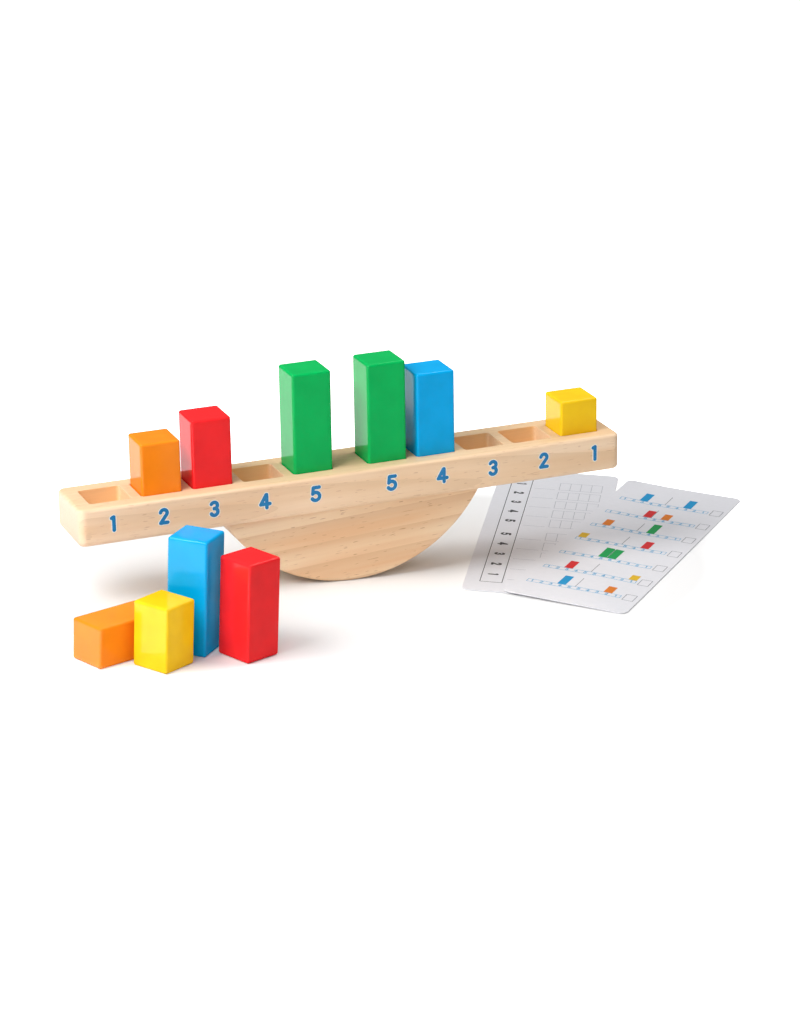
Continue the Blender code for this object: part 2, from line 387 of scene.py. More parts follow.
def side_points(start, end, first_round, last_round):
    """One side of a rectangle from the middle of its first corner to just before the middle of its last:
    half an arc where that corner is round, evenly spaced points on the straight, and half an arc
    again."""
    along = (end - start) / np.linalg.norm(end - start)
    outward = np.array((along[1], -along[0]))
    half = ARC_STEPS // 2
    points, directions = [], []
    turns = np.radians(np.linspace(45, 0, half + 1))[:, None]
    if first_round:
        centre = start + first_round * (along - outward)
        around = np.cos(turns) * outward - np.sin(turns) * along
        points.append((centre + first_round * around)[:-1])
        directions.append(around[:-1])
    straight = SIDE_STEPS - half * (bool(first_round) + bool(last_round))
    share = np.linspace(0, 1, straight + 1)[:, None]
    line = (start + first_round * along) * (1 - share) + (end - last_round * along) * share
    points.append(line)
    directions.append(np.repeat(outward[None], straight + 1, axis=0))
    if last_round:
        centre = end - last_round * (along + outward)
        around = np.cos(turns[::-1]) * outward + np.sin(turns[::-1]) * along
        points.append((centre + last_round * around)[1:])
        directions.append(around[1:])
    return np.concatenate(points)[:-1], np.concatenate(directions)[:-1]


def rectangle_sides(low, high, rounds):
    """Front, right, back and left side of a rectangle whose corners are rounded as given, anticlockwise
    from the front left, as points and outward directions of shape (4, steps, 2)."""
    corners = np.array(((low[0], low[1]), (high[0], low[1]), (high[0], high[1]), (low[0], high[1])))
    sides = [
        side_points(corners[n], corners[(n + 1) % 4], rounds[n], rounds[(n + 1) % 4])
        for n in range(4)
    ]
    return np.stack([side[0] for side in sides]), np.stack([side[1] for side in sides])


def closed(sides):
    """Sides joined into one loop that ends where it starts."""
    loop = sides.reshape(-1, 2)
    return np.vstack((loop, loop[:1]))


def pocket_middles():
    """Middle of each pocket along the beam, from left to right."""
    outwards = POCKET_FIRST + POCKET_PITCH * np.arange(POCKETS_PER_SIDE)
    return np.concatenate((-outwards[::-1], outwards))


def pocket_grid(border, middle, top, floor):
    """Beam top round one pocket, and the pocket: rows run from the cell's border in across the flat top,
    round the mouth, down the wall, round the foot and in to the middle of the floor. Each point's mark is
    nought on the top and one on the wall."""
    half = POCKET_WIDTH / 2
    low, high = np.array((middle - half, -half)), np.array((middle + half, half))
    sides, directions = rectangle_sides(low, high, (POCKET_CORNER,) * 4)
    wall, outward = closed(sides), closed(directions)
    mouth = wall + POCKET_MOUTH_ROUND * outward
    foot = wall - POCKET_FLOOR_ROUND * outward
    centre = np.array((middle, 0.0))
    flat = (0.0, 0.1, 0.5, 0.88, 1.0)
    loops = [border * (1 - share) + mouth * share for share in flat]
    heights = [top] * len(flat)
    turns = quarter(0, SMALL_ARC_STEPS)[1:]
    loops += [wall + POCKET_MOUTH_ROUND * (1 - math.sin(turn)) * outward for turn in turns]
    heights += [top - POCKET_MOUTH_ROUND * (1 - math.cos(turn)) for turn in turns]
    loops += [wall] * 3
    heights += [top - POCKET_MOUTH_ROUND - HOLD, (top + floor) / 2, floor + POCKET_FLOOR_ROUND + HOLD]
    turns = quarter(0, SMALL_ARC_STEPS)
    loops += [wall - POCKET_FLOOR_ROUND * (1 - math.cos(turn)) * outward for turn in turns]
    heights += [floor + POCKET_FLOOR_ROUND * (1 - math.sin(turn)) for turn in turns]
    shares = (0.94, 0.5, 0.0)
    loops += [centre + (foot - centre) * share for share in shares]
    heights += [floor] * len(shares)
    grid = stack(loops, heights)
    # The mark sets how much of the pockets' tone, partly painted shade, each point takes
    depth = np.clip((top - np.array(heights)) / POCKET_MOUTH_ROUND, 0, 1)
    depth[np.array(heights) <= floor + POCKET_FLOOR_ROUND / 2] = POCKET_FLOOR_SHARE
    return grid, np.repeat(depth[:, None], grid.shape[1], axis=1)


def outer_loop(cells, kind):
    """Outer sides of a row of cells as one closed loop: the fronts, the right end, the backs from right
    to left and the left end. Kind is 0 for points and 1 for outward directions."""
    fronts = [cell[kind][0] for cell in cells]
    backs = [cell[kind][2] for cell in reversed(cells)]
    loop = np.concatenate((*fronts, cells[-1][kind][1], *backs, cells[0][kind][3]))
    return np.vstack((loop, loop[:1]))


def beam_grids():
    """The beam as one closed skin: a shell carried round the rounded outline from the top's edge, round
    the top fillet, down the wall, round the bottom fillet and in to the middle line of the underside, and
    a pocket patch for each cell of the flat top."""
    low, high = node_box("balance_beam", BEAM_AXES, PIVOT)
    bottom, top = low[2], high[2]
    floor = top - POCKET_DEPTH
    flat_low, flat_high = low[:2] + BEAM_TOP_ROUND, high[:2] - BEAM_TOP_ROUND
    corner = BEAM_CORNER - BEAM_TOP_ROUND
    middles = pocket_middles()
    splits = np.concatenate(((flat_low[0],), (middles[:-1] + middles[1:]) / 2, (flat_high[0],)))
    cells = []
    for number in range(len(middles)):
        left = corner * (number == 0)
        right = corner * (number == len(middles) - 1)
        cell_low = np.array((splits[number], flat_low[1]))
        cell_high = np.array((splits[number + 1], flat_high[1]))
        cells.append(rectangle_sides(cell_low, cell_high, (left, right, right, left)))
    patches = [pocket_grid(closed(cell[0]), middle, top, floor) for cell, middle in zip(cells, middles)]
    edge, outward = outer_loop(cells, 0), outer_loop(cells, 1)
    turns = quarter(0)[::-1]
    offsets = [BEAM_TOP_ROUND * math.cos(turn) for turn in turns]
    heights = [top - BEAM_TOP_ROUND * (1 - math.sin(turn)) for turn in turns]
    offsets += [BEAM_TOP_ROUND] * 2
    heights += [top - BEAM_TOP_ROUND - HOLD, bottom + BEAM_BOTTOM_ROUND + HOLD]
    offsets += [BEAM_TOP_ROUND - BEAM_BOTTOM_ROUND * (1 - math.cos(turn)) for turn in turns[::-1]]
    heights += [bottom + BEAM_BOTTOM_ROUND * (1 - math.sin(turn)) for turn in turns[::-1]]
    offsets.append(BEAM_TOP_ROUND - BEAM_BOTTOM_ROUND - HOLD)
    heights.append(bottom)
    loops = [edge + offset * outward for offset in offsets]
    spine_along = np.clip(edge[:, 0], flat_low[0] + high[1], flat_high[0] - high[1])
    spine = np.column_stack((spine_along, np.zeros(len(edge))))
    shell = stack(loops + [spine], heights + [bottom])
    grids = [shell] + [patch[0] for patch in patches]
    marks = [np.zeros(shell.shape[:2])] + [patch[1] for patch in patches]
    return [to_world(grid, BEAM_AXES, PIVOT) for grid in grids], marks


def rocker_grid():
    """Circular segment with rounded edges: its outline, an arc and a chord, is a smaller outline swelled
    by a ball. Rows run from the middle of the front face out to its edge, round the fillet, across the
    rim and back in."""
    low, high = node_box("rocker", BEAM_AXES, PIVOT)
    radius = -low[2]
    inner = radius - ROCKER_EDGE
    chord = high[2] + ROCKER_INTO_BEAM - ROCKER_EDGE
    half_angle = math.acos(-chord / inner)
    sweep = np.linspace(-half_angle, half_angle, ROCKER_STEPS + 1)
    arc_out = np.stack((np.sin(sweep), -np.cos(sweep)), axis=1)
    right_turn = np.linspace(half_angle, math.pi, ARC_STEPS + 1)[1:]
    right_out = np.stack((np.sin(right_turn), -np.cos(right_turn)), axis=1)
    left_out = right_out[::-1] * (-1, 1)
    ends = np.array((inner * math.sin(half_angle), chord))
    points = np.vstack((
        arc_out * inner, np.repeat(ends[None], len(right_out), axis=0),
        np.repeat((ends * (-1, 1))[None], len(left_out), axis=0), arc_out[:1] * inner))
    outward = np.vstack((arc_out, right_out, left_out, arc_out[:1]))
    centre = np.array((0.0, (chord - radius) / 2))
    front, back = low[1] + ROCKER_EDGE, high[1] - ROCKER_EDGE
    shares = (0.0, 0.5, 0.98)
    loops = [centre + (points - centre) * share for share in shares]
    across = [low[1]] * len(shares)
    loops += [points + ROCKER_EDGE * math.cos(turn) * outward for turn in quarter(-90)]
    across += [front + ROCKER_EDGE * math.sin(turn) for turn in quarter(-90)]
    loops += [points + ROCKER_EDGE * outward] * 2
    across += [front + HOLD, back - HOLD]
    loops += [points + ROCKER_EDGE * math.cos(turn) * outward for turn in quarter(0)]
    across += [back + ROCKER_EDGE * math.sin(turn) for turn in quarter(0)]
    loops += [centre + (points - centre) * share for share in shares[::-1]]
    across += [high[1]] * len(shares)
    grid = stack(loops, across)[:, :, [0, 2, 1]]
    return to_world(grid, BEAM_AXES, PIVOT)


def arc(centre, radius, start, end, steps=14):
    """Points along a circular arc, with angles in degrees."""
    angle = np.radians(np.linspace(start, end, steps + 1))
    return np.stack((centre[0] + radius * np.cos(angle), centre[1] + radius * np.sin(angle)), axis=1)


def line(start, end, steps=4):
    """Points along a straight line."""
    share = np.linspace(0, 1, steps + 1)[:, None]
    return np.array(start) * (1 - share) + np.array(end) * share


def numeral_strokes(digit):
    """Centre lines of a numeral one unit tall, standing on its origin."""
    if digit == 1:
        return [line((-0.12, 0.93), (0.04, 1.0)), line((0.04, 1.0), (0.04, 0.0))]
    if digit == 2:
        bowl = arc((0.0, 0.75), 0.25, 168, -28)
        return [np.vstack((bowl, line(bowl[-1], (-0.26, 0.0))[1:])), line((-0.26, 0.0), (0.27, 0.0))]
    if digit == 3:
        return [arc((-0.02, 0.755), 0.245, 150, -90), arc((-0.02, 0.265), 0.265, 90, -152)]
    if digit == 4:
        slant = line((0.08, 1.0), (-0.34, 0.28))
        return [slant, line((-0.34, 0.28), (0.36, 0.28)), line((0.12, 1.0), (0.12, 0.0))]
    bowl = arc((-0.02, 0.31), 0.31, 128, -150)
    flag, neck = line((0.27, 1.0), (-0.19, 1.0)), line((-0.19, 1.0), (-0.24, 0.54))
    return [flag, neck, np.vstack(((-0.24, 0.52), bowl))]


def ribbon(path, half_width, rise, sink, place, round_ends=True):
    """Raised stroke along a flat path: at every station a low flat-topped section as wide as the stroke,
    narrowed to nothing over a half circle past each end, or closed square. Place puts (across, up, out)
    on its surface."""
    ahead = np.gradient(path, axis=0)
    ahead /= np.linalg.norm(ahead, axis=1)[:, None]
    if round_ends:
        turns = quarter(0, SMALL_ARC_STEPS)[1:]
        reach, widths = half_width * np.sin(turns), half_width * np.cos(turns)
    else:
        reach, widths = np.zeros(1), np.zeros(1)
    first = path[0] - reach[::-1, None] * ahead[0]
    last = path[-1] + reach[:, None] * ahead[-1]
    stations = np.vstack((first, path, last))
    before = np.repeat(ahead[:1], len(reach), axis=0)
    after = np.repeat(ahead[-1:], len(reach), axis=0)
    heading = np.vstack((before, ahead, after))
    sideways = np.column_stack((-heading[:, 1], heading[:, 0]))
    width = np.concatenate((widths[::-1], np.full(len(path), half_width), widths))
    share = np.array((-1, -1, -0.9, -0.5, 0, 0.5, 0.9, 1, 1, -1))
    height = np.array((-sink, 0.6 * rise, rise, rise, rise, rise, rise, 0.6 * rise, -sink, -sink))
    flat = stations[:, None] + (share * width[:, None])[:, :, None] * sideways[:, None]
    out = np.repeat(height[None], len(stations), axis=0)
    if not round_ends:
        out[[0, -1]] = 0
        flat[[0, -1]] = stations[[0, -1], None]
    return place(flat[..., 0], flat[..., 1], out)


def numeral(digit, middle, height, stroke, rise, place, turn=0.0):
    """A numeral's strokes, centred on a point of its surface and turned on it."""
    angle = math.radians(turn)
    spin = np.array(((math.cos(angle), math.sin(angle)), (-math.sin(angle), math.cos(angle))))
    grids = []
    for order, path in enumerate(numeral_strokes(digit)):
        centred = (path - (0, 0.5)) * height @ spin + middle
        grids.append(ribbon(centred, stroke / 2, rise * (1 + STROKE_STEP * order), rise, place))
    return grids


def beam_front(along, up, out):
    """Places points on the beam's front face."""
    front = node_box("balance_beam", BEAM_AXES, PIVOT)[0][1]
    return to_world(np.stack((along, front - out, up), axis=-1), BEAM_AXES, PIVOT)


def numeral_middles():
    """Middle of each numeral along the beam: close to its pocket's, in a row that opens slowly to the
    right."""
    pockets = pocket_middles()
    return NUMERAL_SHIFT + NUMERAL_SPREAD * pockets + NUMERAL_BOW * pockets ** 2


def numeral_row(stroke, rise):
    """The ten numerals on the beam's front: one to five from each end to the middle."""
    digits = [*range(1, POCKETS_PER_SIDE + 1), *range(POCKETS_PER_SIDE, 0, -1)]
    grids = []
    for digit, along in zip(digits, numeral_middles()):
        grids += numeral(digit, (along, NUMERAL_MIDDLE_UP), NUMERAL_HEIGHT, stroke, rise, beam_front)
    return grids


class Card:
    """A thin card lying on the table: its place and axes, and the height of its underside at any
    point."""

    def __init__(self, node, turn, under=None, curl=0.0):
        low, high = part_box(node)
        self.node = node
        self.axes = turned_axes(turn)
        self.middle = np.array(((low[0] + high[0]) / 2, (low[1] + high[1]) / 2))
        local_low, local_high = node_box(node, self.axes)
        self.half = (local_high - local_low)[:2] / 2
        self.base = low[2]
        self.thickness = high[2] - low[2]
        self.under = under
        self.curl = curl

    def outside(self, points):
        """Distance of points outside the card's outline."""
        local = np.abs((points - self.middle) @ self.axes[:2, :2].T) - self.half
        return np.linalg.norm(np.maximum(local, 0), axis=-1)

    def underside(self, points):
        """The card lies at its own level on what is under it and sinks smoothly to the table beside that.
        Its left corners curl up by the square of the product of the distances from the right edge and
        from the middle."""
        if self.under is None:
            return np.full(points.shape[:-1], self.base)
        share = np.clip(self.under.outside(points) / CARD_DROOP_REACH, 0, 1)
        local = (points - self.middle) @ self.axes[:2, :2].T / self.half
        curl = self.curl * ((1 - local[..., 0]) / 2 * local[..., 1]) ** 2
        return self.base * (1 - share * share * (3 - 2 * share)) + curl

    def place(self, across, up, out):
        """Places points on the card's top face."""
        flat = np.stack((across, up), axis=-1) @ self.axes[:2, :2] + self.middle
        return np.concatenate((flat, (self.underside(flat) + self.thickness + out)[..., None]), axis=-1)

    def grid(self):
        """Card as one closed skin: stations along its length, and round each the top from left to right
        and the underside back. Near the ends the width follows the rounded corners, and the middle of
        each end closes it."""
        ends = self.half[1] - CARD_CORNER * (1 - np.sin(quarter(0)))
        straight = np.linspace(-self.half[1] + CARD_CORNER, self.half[1] - CARD_CORNER, CARD_LENGTH_STEPS + 1)
        up = np.concatenate((-ends[::-1], straight[1:-1], ends))
        past = np.maximum(np.abs(up) - (self.half[1] - CARD_CORNER), 0)
        width = self.half[0] - CARD_CORNER + np.sqrt(np.maximum(CARD_CORNER ** 2 - past ** 2, 0))
        share = np.linspace(-1, 1, CARD_WIDTH_STEPS + 1)
        rim = CARD_RIM_SHARE * self.thickness
        top = np.concatenate((np.zeros(len(share)), (-rim, rim - self.thickness)))
        share = np.concatenate((share * (1 - rim / self.half[0]), (1.0, 1.0)))
        share = np.concatenate((share, -share, share[:1]))
        out = np.concatenate((top, -self.thickness - top, top[:1]))
        across = width[:, None] * share
        lengthways = np.repeat(up[:, None], len(share), axis=1)
        rows = self.place(across, lengthways, np.repeat(out[None], len(up), axis=0))
        poles = self.place(np.zeros(2), up[[0, -1]], np.full(2, -self.thickness / 2))
        caps = np.repeat(poles[:, None], len(share), axis=1)
        return np.concatenate((caps[:1], rows, caps[1:]))


def linear(colour):
    """Linear-light colour of an 8-bit sRGB one, with full opacity."""
    share = np.array(colour) / 255
    light = np.where(share <= 0.04045, share / 12.92, ((share + 0.055) / 1.055) ** 2.4)
    return (*light.tolist(), 1.0)


def shade(colour, factor):
    """A colour made lighter or darker."""
    return tuple(min(255, channel * factor) for channel in colour)


class Finish:
    """A node material under construction."""

    def __init__(self, name):
        self.material = bpy.data.materials.new(name)
        self.material.use_nodes = True
        self.tree = self.material.node_tree
        self.shader = self.tree.nodes["Principled BSDF"]

    def add(self, kind, inputs=None, **settings):
        """New node with its settings; an input is a value or another node's output."""
        made = self.tree.nodes.new("ShaderNode" + kind)
        for name, value in settings.items():
            setattr(made, name, value)
        for name, value in (inputs or {}).items():
            self.feed(made.inputs[name], value)
        return made

    def feed(self, socket, value):
        """Set a socket, or link an output to it."""
        if isinstance(value, bpy.types.NodeSocket):
            self.tree.links.new(value, socket)
        else:
            socket.default_value = value

    def where(self, turn=(0, 0, 0), scale=(1, 1, 1), shift=(0, 0, 0)):
        """Object coordinates, turned, stretched and shifted."""
        place = self.add("TexCoord").outputs["Object"]
        turned = self.add("Mapping", {"Vector": place, "Rotation": turn}).outputs["Vector"]
        return self.add("Mapping", {"Vector": turned, "Scale": scale, "Location": shift}).outputs["Vector"]

    def noise(self, place, scale, detail=3.0, roughness=0.5):
        """Cloudy noise from nought to one."""
        inputs = {"Vector": place, "Scale": scale, "Detail": detail, "Roughness": roughness}
        return self.add("TexNoise", inputs).outputs["Fac"]

    def ramp(self, fac, stops):
        """Colour ramp through (position, colour) stops."""
        made = self.add("ValToRGB", {"Fac": fac})
        elements = made.color_ramp.elements
        while len(elements) < len(stops):
            elements.new(0.5)
        for element, (position, colour) in zip(elements, stops):
            element.position = position
            element.color = colour
        return made.outputs["Color"]

    def tint(self, noise, first, last):
        """Colour that goes from one sRGB colour to another with a cloudy noise."""
        return self.ramp(noise, ((CLOUDY[0], linear(first)), (CLOUDY[1], linear(last))))

    def span(self, fac, low, high, to_low, to_high):
        """One range mapped to another and held there."""
        inputs = {"Value": fac, "From Min": low, "From Max": high, "To Min": to_low, "To Max": to_high}
        return self.add("MapRange", inputs).outputs["Result"]

    def mix(self, fac, first, second):
        """Two colours mixed."""
        made = self.add("Mix", data_type="RGBA")
        for socket, value in zip((made.inputs[0], made.inputs[6], made.inputs[7]), (fac, first, second)):
            self.feed(socket, value)
        return made.outputs[2]

    def bump(self, height, strength, distance):
        """Surface relief."""
        inputs = {"Height": height, "Strength": strength, "Distance": distance}
        return self.add("Bump", inputs).outputs["Normal"]

    def surface(self, **inputs):
        """Set the shader's sockets, with _ for a space in their names."""
        for name, value in inputs.items():
            self.feed(self.shader.inputs[name.replace("_", " ")], value)
        return self.material


def pine(name, light, dark, heart, ring_width, ringed, flecked, lean=0.0, swing=0.0):
    """Clear-lacquered pine: a pale ground with long soft streaks along the grain, faint thin growth rings
    round a heart outside the board, fine fibres and short brown resin dashes. Faces that look up are
    painted darker as painted shade, and the ends are paler. Routed walls take a browner tone, partly the cut
    wood's own and partly painted shade, painted darker where they face front and back and paler, as
    painted light, where they face along the beam."""
    make = Finish(name)
    turn = (0, BEAM_TILT + lean, swing)
    wave = make.add("TexWave", {
        "Vector": make.where(turn, RING_STRETCH, heart), "Scale": WAVE_UNIT / ring_width, "Distortion": 2.2,
        "Detail": 2.0, "Detail Scale": 0.7}, wave_type="RINGS", rings_direction="X", wave_profile="SAW")
    rings = wave.outputs["Fac"]
    streaks = make.noise(make.where(turn, STREAK_STRETCH, heart), STREAK_SCALE, 2.0, 0.45)
    fibres = make.noise(make.where(turn, FIBRE_STRETCH, heart), FIBRE_SCALE, 2.0, 0.6)
    flecks = make.noise(make.where(turn, FLECK_STRETCH, heart), FLECK_SCALE, 0.0)
    tone = make.ramp(streaks, ((0.40, linear(light)), (0.70, linear(dark))))
    lined = make.mix(make.span(rings, 0.35, 1.0, 0.0, ringed), tone, linear(shade(dark, 0.95)))
    facing = make.add("SeparateXYZ", {0: make.add("TexCoord").outputs["Normal"]}).outputs
    endways = make.add("Math", {0: facing["X"]}, operation="ABSOLUTE").outputs[0]
    # Painted shade: faces that look up are mixed towards a darker tone
    top_shaded = make.mix(make.span(facing["Z"], 0.6, 0.95, 0.0, 0.6), lined, linear(TOP_PAINTED_SHADE_TONE))
    ended = make.mix(make.span(endways, 0.7, 0.95, 0.0, 0.85), top_shaded, linear(END_TONE))
    fibrous = make.mix(make.span(fibres, 0.40, 0.75, 0.0, 0.12), ended, linear(shade(dark, 0.92)))
    dashed = make.mix(make.span(flecks, 0.74, 0.78, 0.0, flecked), fibrous, linear(RESIN_BROWN))
    # Pocket walls: a browner tone, partly the wood's own and partly painted shade, painted darker where they
    # face front and back and paler, as painted light, where they face along the beam
    routed = make.add("Attribute", attribute_name="routed").outputs["Fac"]
    cut_and_shade = make.mix(make.span(endways, 0.5, 0.9, 0.0, 1.0), linear(ROUTED_WOOD_AND_SHADE_TONE), linear(ROUTED_END_PAINTED_LIGHT))
    walls = make.mix(make.span(fibres, *CLOUDY, 0.0, 0.4), cut_and_shade, linear(shade(ROUTED_WOOD_AND_SHADE_TONE, 0.95)))
    return make.surface(
        Base_Color=make.mix(routed, dashed, walls),
        Roughness=make.span(fibres, 0.2, 0.8, 0.44, 0.56),
        Normal=make.bump(fibres, 0.08, 0.0002),
        Specular_IOR_Level=0.35,
    )


def gloss_paint(colour):
    """Sprayed gloss paint on wood: a slightly cloudy colour and a very soft ripple where the wood's grain
    lies under it."""
    make = Finish("gloss_paint_" + colour)
    base = COLOURS[colour]
    clouds = make.noise(make.where(), 55.0, 3.0)
    ripple = make.noise(make.where(scale=(1, 1, 0.2)), 170.0, 2.0)
    return make.surface(
        Base_Color=make.tint(clouds, shade(base, 0.97), shade(base, 1.02)),
        Roughness=make.span(clouds, *CLOUDY, 0.26, 0.34),
        Normal=make.bump(ripple, 0.08, 0.0002),
        Specular_IOR_Level=0.0,
        Coat_Weight=0.45,
        Coat_Roughness=0.11,
        Coat_IOR=1.5,
    )


def laminated_card():
    """White card in clear film: a faint cool mottle and a very shallow waviness in the film."""
    make = Finish("laminated_card")
    mottle = make.noise(make.where(), 260.0, 3.0)
    wave = make.noise(make.where(), 28.0, 2.0)
    return make.surface(
        Base_Color=make.tint(mottle, shade(CARD_WHITE, 0.985), CARD_WHITE),
        Roughness=make.span(mottle, *CLOUDY, 0.34, 0.42),
        Normal=make.bump(wave, 0.06, 0.001),
        Coat_Weight=0.25,
        Coat_Roughness=0.2,
    )


def ink(name, colour, roughness=0.45):
    """Printed ink: a colour with the slight mottle of its screen."""
    make = Finish(name)
    mottle = make.noise(make.where(), 900.0, 2.0)
    return make.surface(
        Base_Color=make.tint(mottle, shade(colour, 0.94), shade(colour, 1.04)),
        Roughness=make.span(mottle, *CLOUDY, roughness - 0.05, roughness + 0.05),
    )


def beech_dowel():
    """Turned beech: pale brown with short fine flecks."""
    make = Finish("beech_dowel")
    flecks = make.noise(make.where(scale=(1, 1, 0.2)), 900.0, 2.0)
    return make.surface(
        Base_Color=make.tint(flecks, BEECH_DARK, BEECH_LIGHT),
        Roughness=make.span(flecks, *CLOUDY, 0.5, 0.65),
    )


def make_balance():
    """Beam, rocker and numerals, all riding on the balance."""
    grids, marks = beam_grids()
    beam_pine = pine("lacquered_pine_beam", BEAM_LIGHT, BEAM_DARK, **BEAM_GRAIN)
    piece("pine_beam", grids, beam_pine, "balance", ("balance_beam",), marks)
    rocker_pine = pine("lacquered_pine_rocker", ROCKER_LIGHT, ROCKER_DARK, **ROCKER_GRAIN)
    piece("pine_rocker", [rocker_grid()], rocker_pine, "balance", ("rocker",))
    halo = numeral_row(NUMERAL_STROKE + 2 * NUMERAL_HALO, HALO_RISE)
    piece("numeral_underprint", halo, ink("underprint_white", HALO_WHITE), "balance")
    blue = numeral_row(NUMERAL_STROKE, NUMERAL_RISE)
    piece("pocket_numerals", blue, ink("numeral_blue", NUMERAL_BLUE, 0.35), "balance")
    beech = beech_dowel()
    for node in ("front_dowel", "rear_dowel"):
        frame["nodes"][node].data.materials.clear()
        frame["nodes"][node].data.materials.append(beech)


def make_blocks():
    """Ten painted blocks, each on its own body: six in their pockets and four on the table."""
    paints = {colour: gloss_paint(colour) for colour in COLOURS}
    for node in sorted(frame["nodes"]):
        if "_block_" not in node:
            continue
        colour, _, place = node.split("_")
        axes = turned_axes(LOOSE_TURNS[colour]) if place == "loose" else BEAM_AXES
        low, high = node_box(node, axes)
        grid = to_world(rounded_block(low, high, BLOCK_ROUND), axes)
        piece("painted_" + node, [grid], paints[colour], node, (node,))


def make_floor():
    """Wide white floor that keeps the set's shadow: a plain diffuse surface, lifted to white away from
    the set where it is seen directly or through something clear, and greyer where gloss shows it."""
    edge = np.linspace(-FLOOR_HALF, FLOOR_HALF, 3)
    across, along = np.meshgrid(edge, edge, indexing="ij")
    points = np.stack((across, along, np.full_like(across, -FLOOR_DROP)), axis=-1).reshape(-1, 3)
    mesh = bpy.data.meshes.new("floor")
    mesh.from_pydata(points.tolist(), [], [(0, 3, 4, 1), (1, 4, 5, 2), (3, 6, 7, 4), (4, 7, 8, 5)])
    floor = bpy.data.objects.new("floor", mesh)
    bpy.context.scene.collection.objects.link(floor)
    make = Finish("floor_white")
    path = make.add("LightPath")
    direct = {0: path.outputs["Is Camera Ray"], 1: path.outputs["Is Transmission Ray"]}
    seen = make.add("Math", direct, operation="MAXIMUM")
    white, grey = (FLOOR_WHITE,) * 3 + (1.0,), (FLOOR_IN_GLOSS,) * 3 + (1.0,)
    tone = make.mix(path.outputs["Is Glossy Ray"], white, grey)
    make.surface(Base_Color=tone, Roughness=1.0, Specular_IOR_Level=0.0)
    place = make.where(scale=FLOOR_STRETCH, shift=FLOOR_SHIFT)
    away = make.add("VectorMath", {0: place}, operation="LENGTH").outputs["Value"]
    white_out = make.span(away, FLOOR_NEAR, FLOOR_FAR, FLOOR_LIFT, 1.0)
    lift = make.add("Math", {0: seen.outputs[0], 1: white_out}, operation="MULTIPLY")
    make.feed(make.shader.inputs["Emission Color"], (1.0, 1.0, 1.0, 1.0))
    make.feed(make.shader.inputs["Emission Strength"], lift.outputs[0])
    mesh.materials.append(make.material)


def sun(name, azimuth, elevation, spread, strength):
    """Even light from far off, travelling towards the azimuth, measured from +Y towards -X."""
    data = bpy.data.lights.new(name, "SUN")
    data.energy = strength
    data.angle = math.radians(spread)
    lamp = bpy.data.objects.new(name, data)
    lamp.rotation_euler = (math.radians(90 - elevation), 0, math.radians(azimuth))
    bpy.context.scene.collection.objects.link(lamp)


def panel(name, place, size, watts, aim):
    """Rectangular lamp turned towards a point."""
    data = bpy.data.lights.new(name, "AREA")
    data.shape = "RECTANGLE"
    data.size, data.size_y = size
    data.energy = watts
    lamp = bpy.data.objects.new(name, data)
    lamp.location = place
    lamp.rotation_euler = (Vector(aim) - Vector(place)).to_track_quat("-Z", "Y").to_euler()
    lamp.visible_camera = False
    bpy.context.scene.collection.objects.link(lamp)
    return lamp


def make_room():
    """Room light that is dim at the horizon, brighter overhead and dimmer to the right and the front, and
    white where the camera sees it."""
    world = bpy.data.worlds.new("room")
    bpy.context.scene.world = world
    world.use_nodes = True
    nodes, links = world.node_tree.nodes, world.node_tree.links
    nodes.clear()
    out = nodes.new("ShaderNodeOutputWorld")
    lit, white = nodes.new("ShaderNodeBackground"), nodes.new("ShaderNodeBackground")
    coordinate, parts = nodes.new("ShaderNodeTexCoord"), nodes.new("ShaderNodeSeparateXYZ")
    links.new(coordinate.outputs["Generated"], parts.inputs[0])
    spans = {
        "Z": (ROOM_LOW_UP_TO, ROOM_HIGH_FROM, ROOM_LOW, ROOM_HIGH),
        "X": (-1.0, 1.0, ROOM_LEFT, ROOM_RIGHT),
        "Y": (-1.0, 1.0, ROOM_FRONT, ROOM_BACK),
    }
    level = None
    for axis, values in spans.items():
        span = nodes.new("ShaderNodeMapRange")
        for name, value in zip(("From Min", "From Max", "To Min", "To Max"), values):
            span.inputs[name].default_value = value
        links.new(parts.outputs[axis], span.inputs["Value"])
        product = nodes.new("ShaderNodeMath")
        product.operation = "MULTIPLY"
        links.new(span.outputs["Result"], product.inputs[0])
        product.inputs[1].default_value = 1.0
        if level is not None:
            links.new(level, product.inputs[1])
        level = product.outputs[0]
    links.new(level, lit.inputs["Strength"])
    for shader in (lit, white):
        shader.inputs["Color"].default_value = (1.0, 1.0, 1.0, 1.0)
    path, seen = nodes.new("ShaderNodeLightPath"), nodes.new("ShaderNodeMath")
    seen.operation = "MAXIMUM"
    blend = nodes.new("ShaderNodeMixShader")
    links.new(path.outputs["Is Camera Ray"], seen.inputs[0])
    links.new(path.outputs["Is Transmission Ray"], seen.inputs[1])
    links.new(seen.outputs[0], blend.inputs["Fac"])
    links.new(lit.outputs[0], blend.inputs[1])
    links.new(white.outputs[0], blend.inputs[2])
    links.new(blend.outputs[0], out.inputs["Surface"])


def make_light():
    """All the lamps and the room."""
    sun("fill", FILL_AZIMUTH, FILL_ELEVATION, FILL_SPREAD, FILL_STRENGTH)
    boxes = {"left_box": LEFT_BOX, "right_box": RIGHT_BOX, "front_box": FRONT_BOX}
    for name, (place, size, watts) in boxes.items():
        panel(name, place, size, watts, BOX_AIM)
    reflectors = {"back_card": BACK_CARD, "left_card": LEFT_CARD, "right_card": RIGHT_CARD}
    for name, (place, size, watts) in reflectors.items():
        reflector = panel(name, place, size, watts, (place[0], place[1], 1.0))
        reflector.visible_diffuse = False
    make_room()


